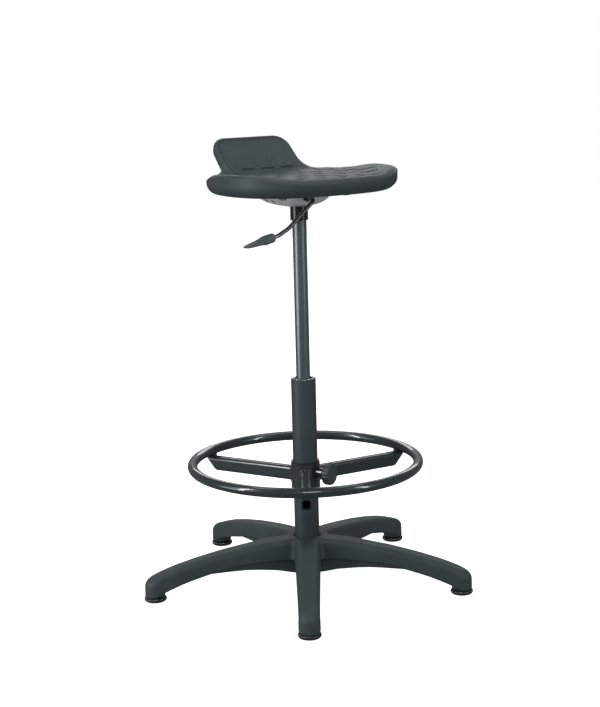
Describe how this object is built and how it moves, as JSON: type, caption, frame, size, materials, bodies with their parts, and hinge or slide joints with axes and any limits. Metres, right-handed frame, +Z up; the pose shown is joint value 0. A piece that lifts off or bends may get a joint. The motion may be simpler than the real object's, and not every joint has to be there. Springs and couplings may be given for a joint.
{
  "type": "drafting chair",
  "caption": "Stand-height work chair with moulded seat and low back lip, gas lift, clamped foot ring and arched star base on glides.",
  "frame": {"origin": "where the column axis meets the floor", "axes": "+Z up the column, -Y along the first arm of the base; at rest the seat faces 58 degrees from +X towards -Y"},
  "size_m": [0.6536, 0.6239, 0.8976],
  "materials": {
    "nylon": "fine moulded texture, matt charcoal",
    "glide_plastic": "gloss black",
    "zinc_steel": "zinc plated",
    "tube_paint": "satin black powder coat",
    "bright_ring": "bright pressed ring",
    "bush_plastic": "black acetal",
    "lift_steel": "dark burnished grey, satin",
    "black_oxide": "oil-black oxide",
    "brass": "machined",
    "rubber": "black rubber",
    "ring_paint": "gloss black enamel",
    "socket_paint": "gloss black enamel",
    "plate_metal": "pressed steel",
    "polyurethane": "self-skinned integral foam, matt charcoal",
    "plywood": "birch plywood",
    "knob_plastic": "moulded black",
    "grip_plastic": "moulded dark grey"
  },
  "bodies": {
    "base": {"star_base": "nylon", "glide_1": "glide_plastic", "glide_2": "glide_plastic", "glide_3": "glide_plastic", "glide_4": "glide_plastic", "glide_5": "glide_plastic", "glide_stems": "zinc_steel", "column_tube": "tube_paint", "column_end_plate": "zinc_steel", "column_bush": "bush_plastic", "column_top_ring": "bright_ring", "bearing_washer_lower": "zinc_steel"},
    "lift_rod": {"piston_rod": "zinc_steel", "piston": "zinc_steel", "retaining_clip": "zinc_steel", "bearing_washer_upper": "zinc_steel", "stroke_bumper": "rubber"},
    "bearing_cage": {"ball_cage": "bush_plastic", "bearing_balls": "zinc_steel"},
    "seat": {"gas_cylinder": "lift_steel", "rod_guide": "bush_plastic", "rod_seal": "rubber", "valve_body": "brass", "seat_pad": "polyurethane", "seat_insert": "plywood", "insert_nuts": "zinc_steel", "seat_plate": "plate_metal", "seat_socket": "socket_paint", "plate_bolts": "zinc_steel", "bolt_washers": "zinc_steel", "lever_bush": "bush_plastic", "lever_bracket": "plate_metal"},
    "valve_pin": {"release_pin": "zinc_steel"},
    "lever": {"lever_rod": "ring_paint", "lever_tab": "ring_paint", "lever_clip": "zinc_steel", "lever_grip": "grip_plastic"},
    "liner": {"collar_liner": "bush_plastic"},
    "foot_ring": {"ring_tube": "ring_paint", "ring_spoke_1": "ring_paint", "ring_spoke_2": "ring_paint", "ring_spoke_3": "ring_paint", "ring_collar": "ring_paint", "clamp_boss": "ring_paint"},
    "pad": {"clamp_pad": "brass"},
    "knob": {"clamp_knob": "knob_plastic", "clamp_screw": "black_oxide"}
  },
  "joints": [
    {"name": "seat_swivel", "type": "hinge", "parent": "base", "child": "lift_rod", "pos_m": [0, 0, 0], "axis": [0, 0, 1], "continuous": true},
    {"name": "cage_turn", "type": "hinge", "parent": "base", "child": "bearing_cage", "pos_m": [0, 0, 0], "axis": [0, 0, 1], "continuous": true},
    {"name": "seat_lift", "type": "slide", "parent": "lift_rod", "child": "seat", "axis": [0, 0, 1], "range_m": [-0.265, 0]},
    {"name": "lever_lift", "type": "hinge", "parent": "seat", "child": "lever", "pos_m": [-0.01018, -0.00636, 0.7875], "axis": [-0.5299, 0.848, 0], "range_deg": [0, 12], "stiffness_Nm_per_rad": 0.6},
    {"name": "valve_travel", "type": "slide", "parent": "seat", "child": "valve_pin", "axis": [0, 0, -1], "range_m": [0, 0.0033]},
    {"name": "ring_height", "type": "slide", "parent": "base", "child": "liner", "axis": [0, 0, 1], "range_m": [-0.088, 0.165]},
    {"name": "ring_turn", "type": "hinge", "parent": "liner", "child": "foot_ring", "pos_m": [0, 0, 0], "axis": [0, 0, 1], "continuous": true},
    {"name": "pad_travel", "type": "slide", "parent": "foot_ring", "child": "pad", "axis": [0.866, -0.5, 0], "range_m": [0, 0.00225]},
    {"name": "knob_turn", "type": "hinge", "parent": "pad", "child": "knob", "pos_m": [0.02598, -0.015, 0.232], "axis": [0.866, -0.5, 0], "range_deg": [0, 540]}
  ],
  "couplings": [
    {"joint": "cage_turn", "follows": "seat_swivel", "ratio": 0.5},
    {"joint": "valve_travel", "follows": "lever_lift", "m_per_rad": 0.0156},
    {"joint": "knob_turn", "follows": "pad_travel", "rad_per_m": 4188.8}
  ]
}
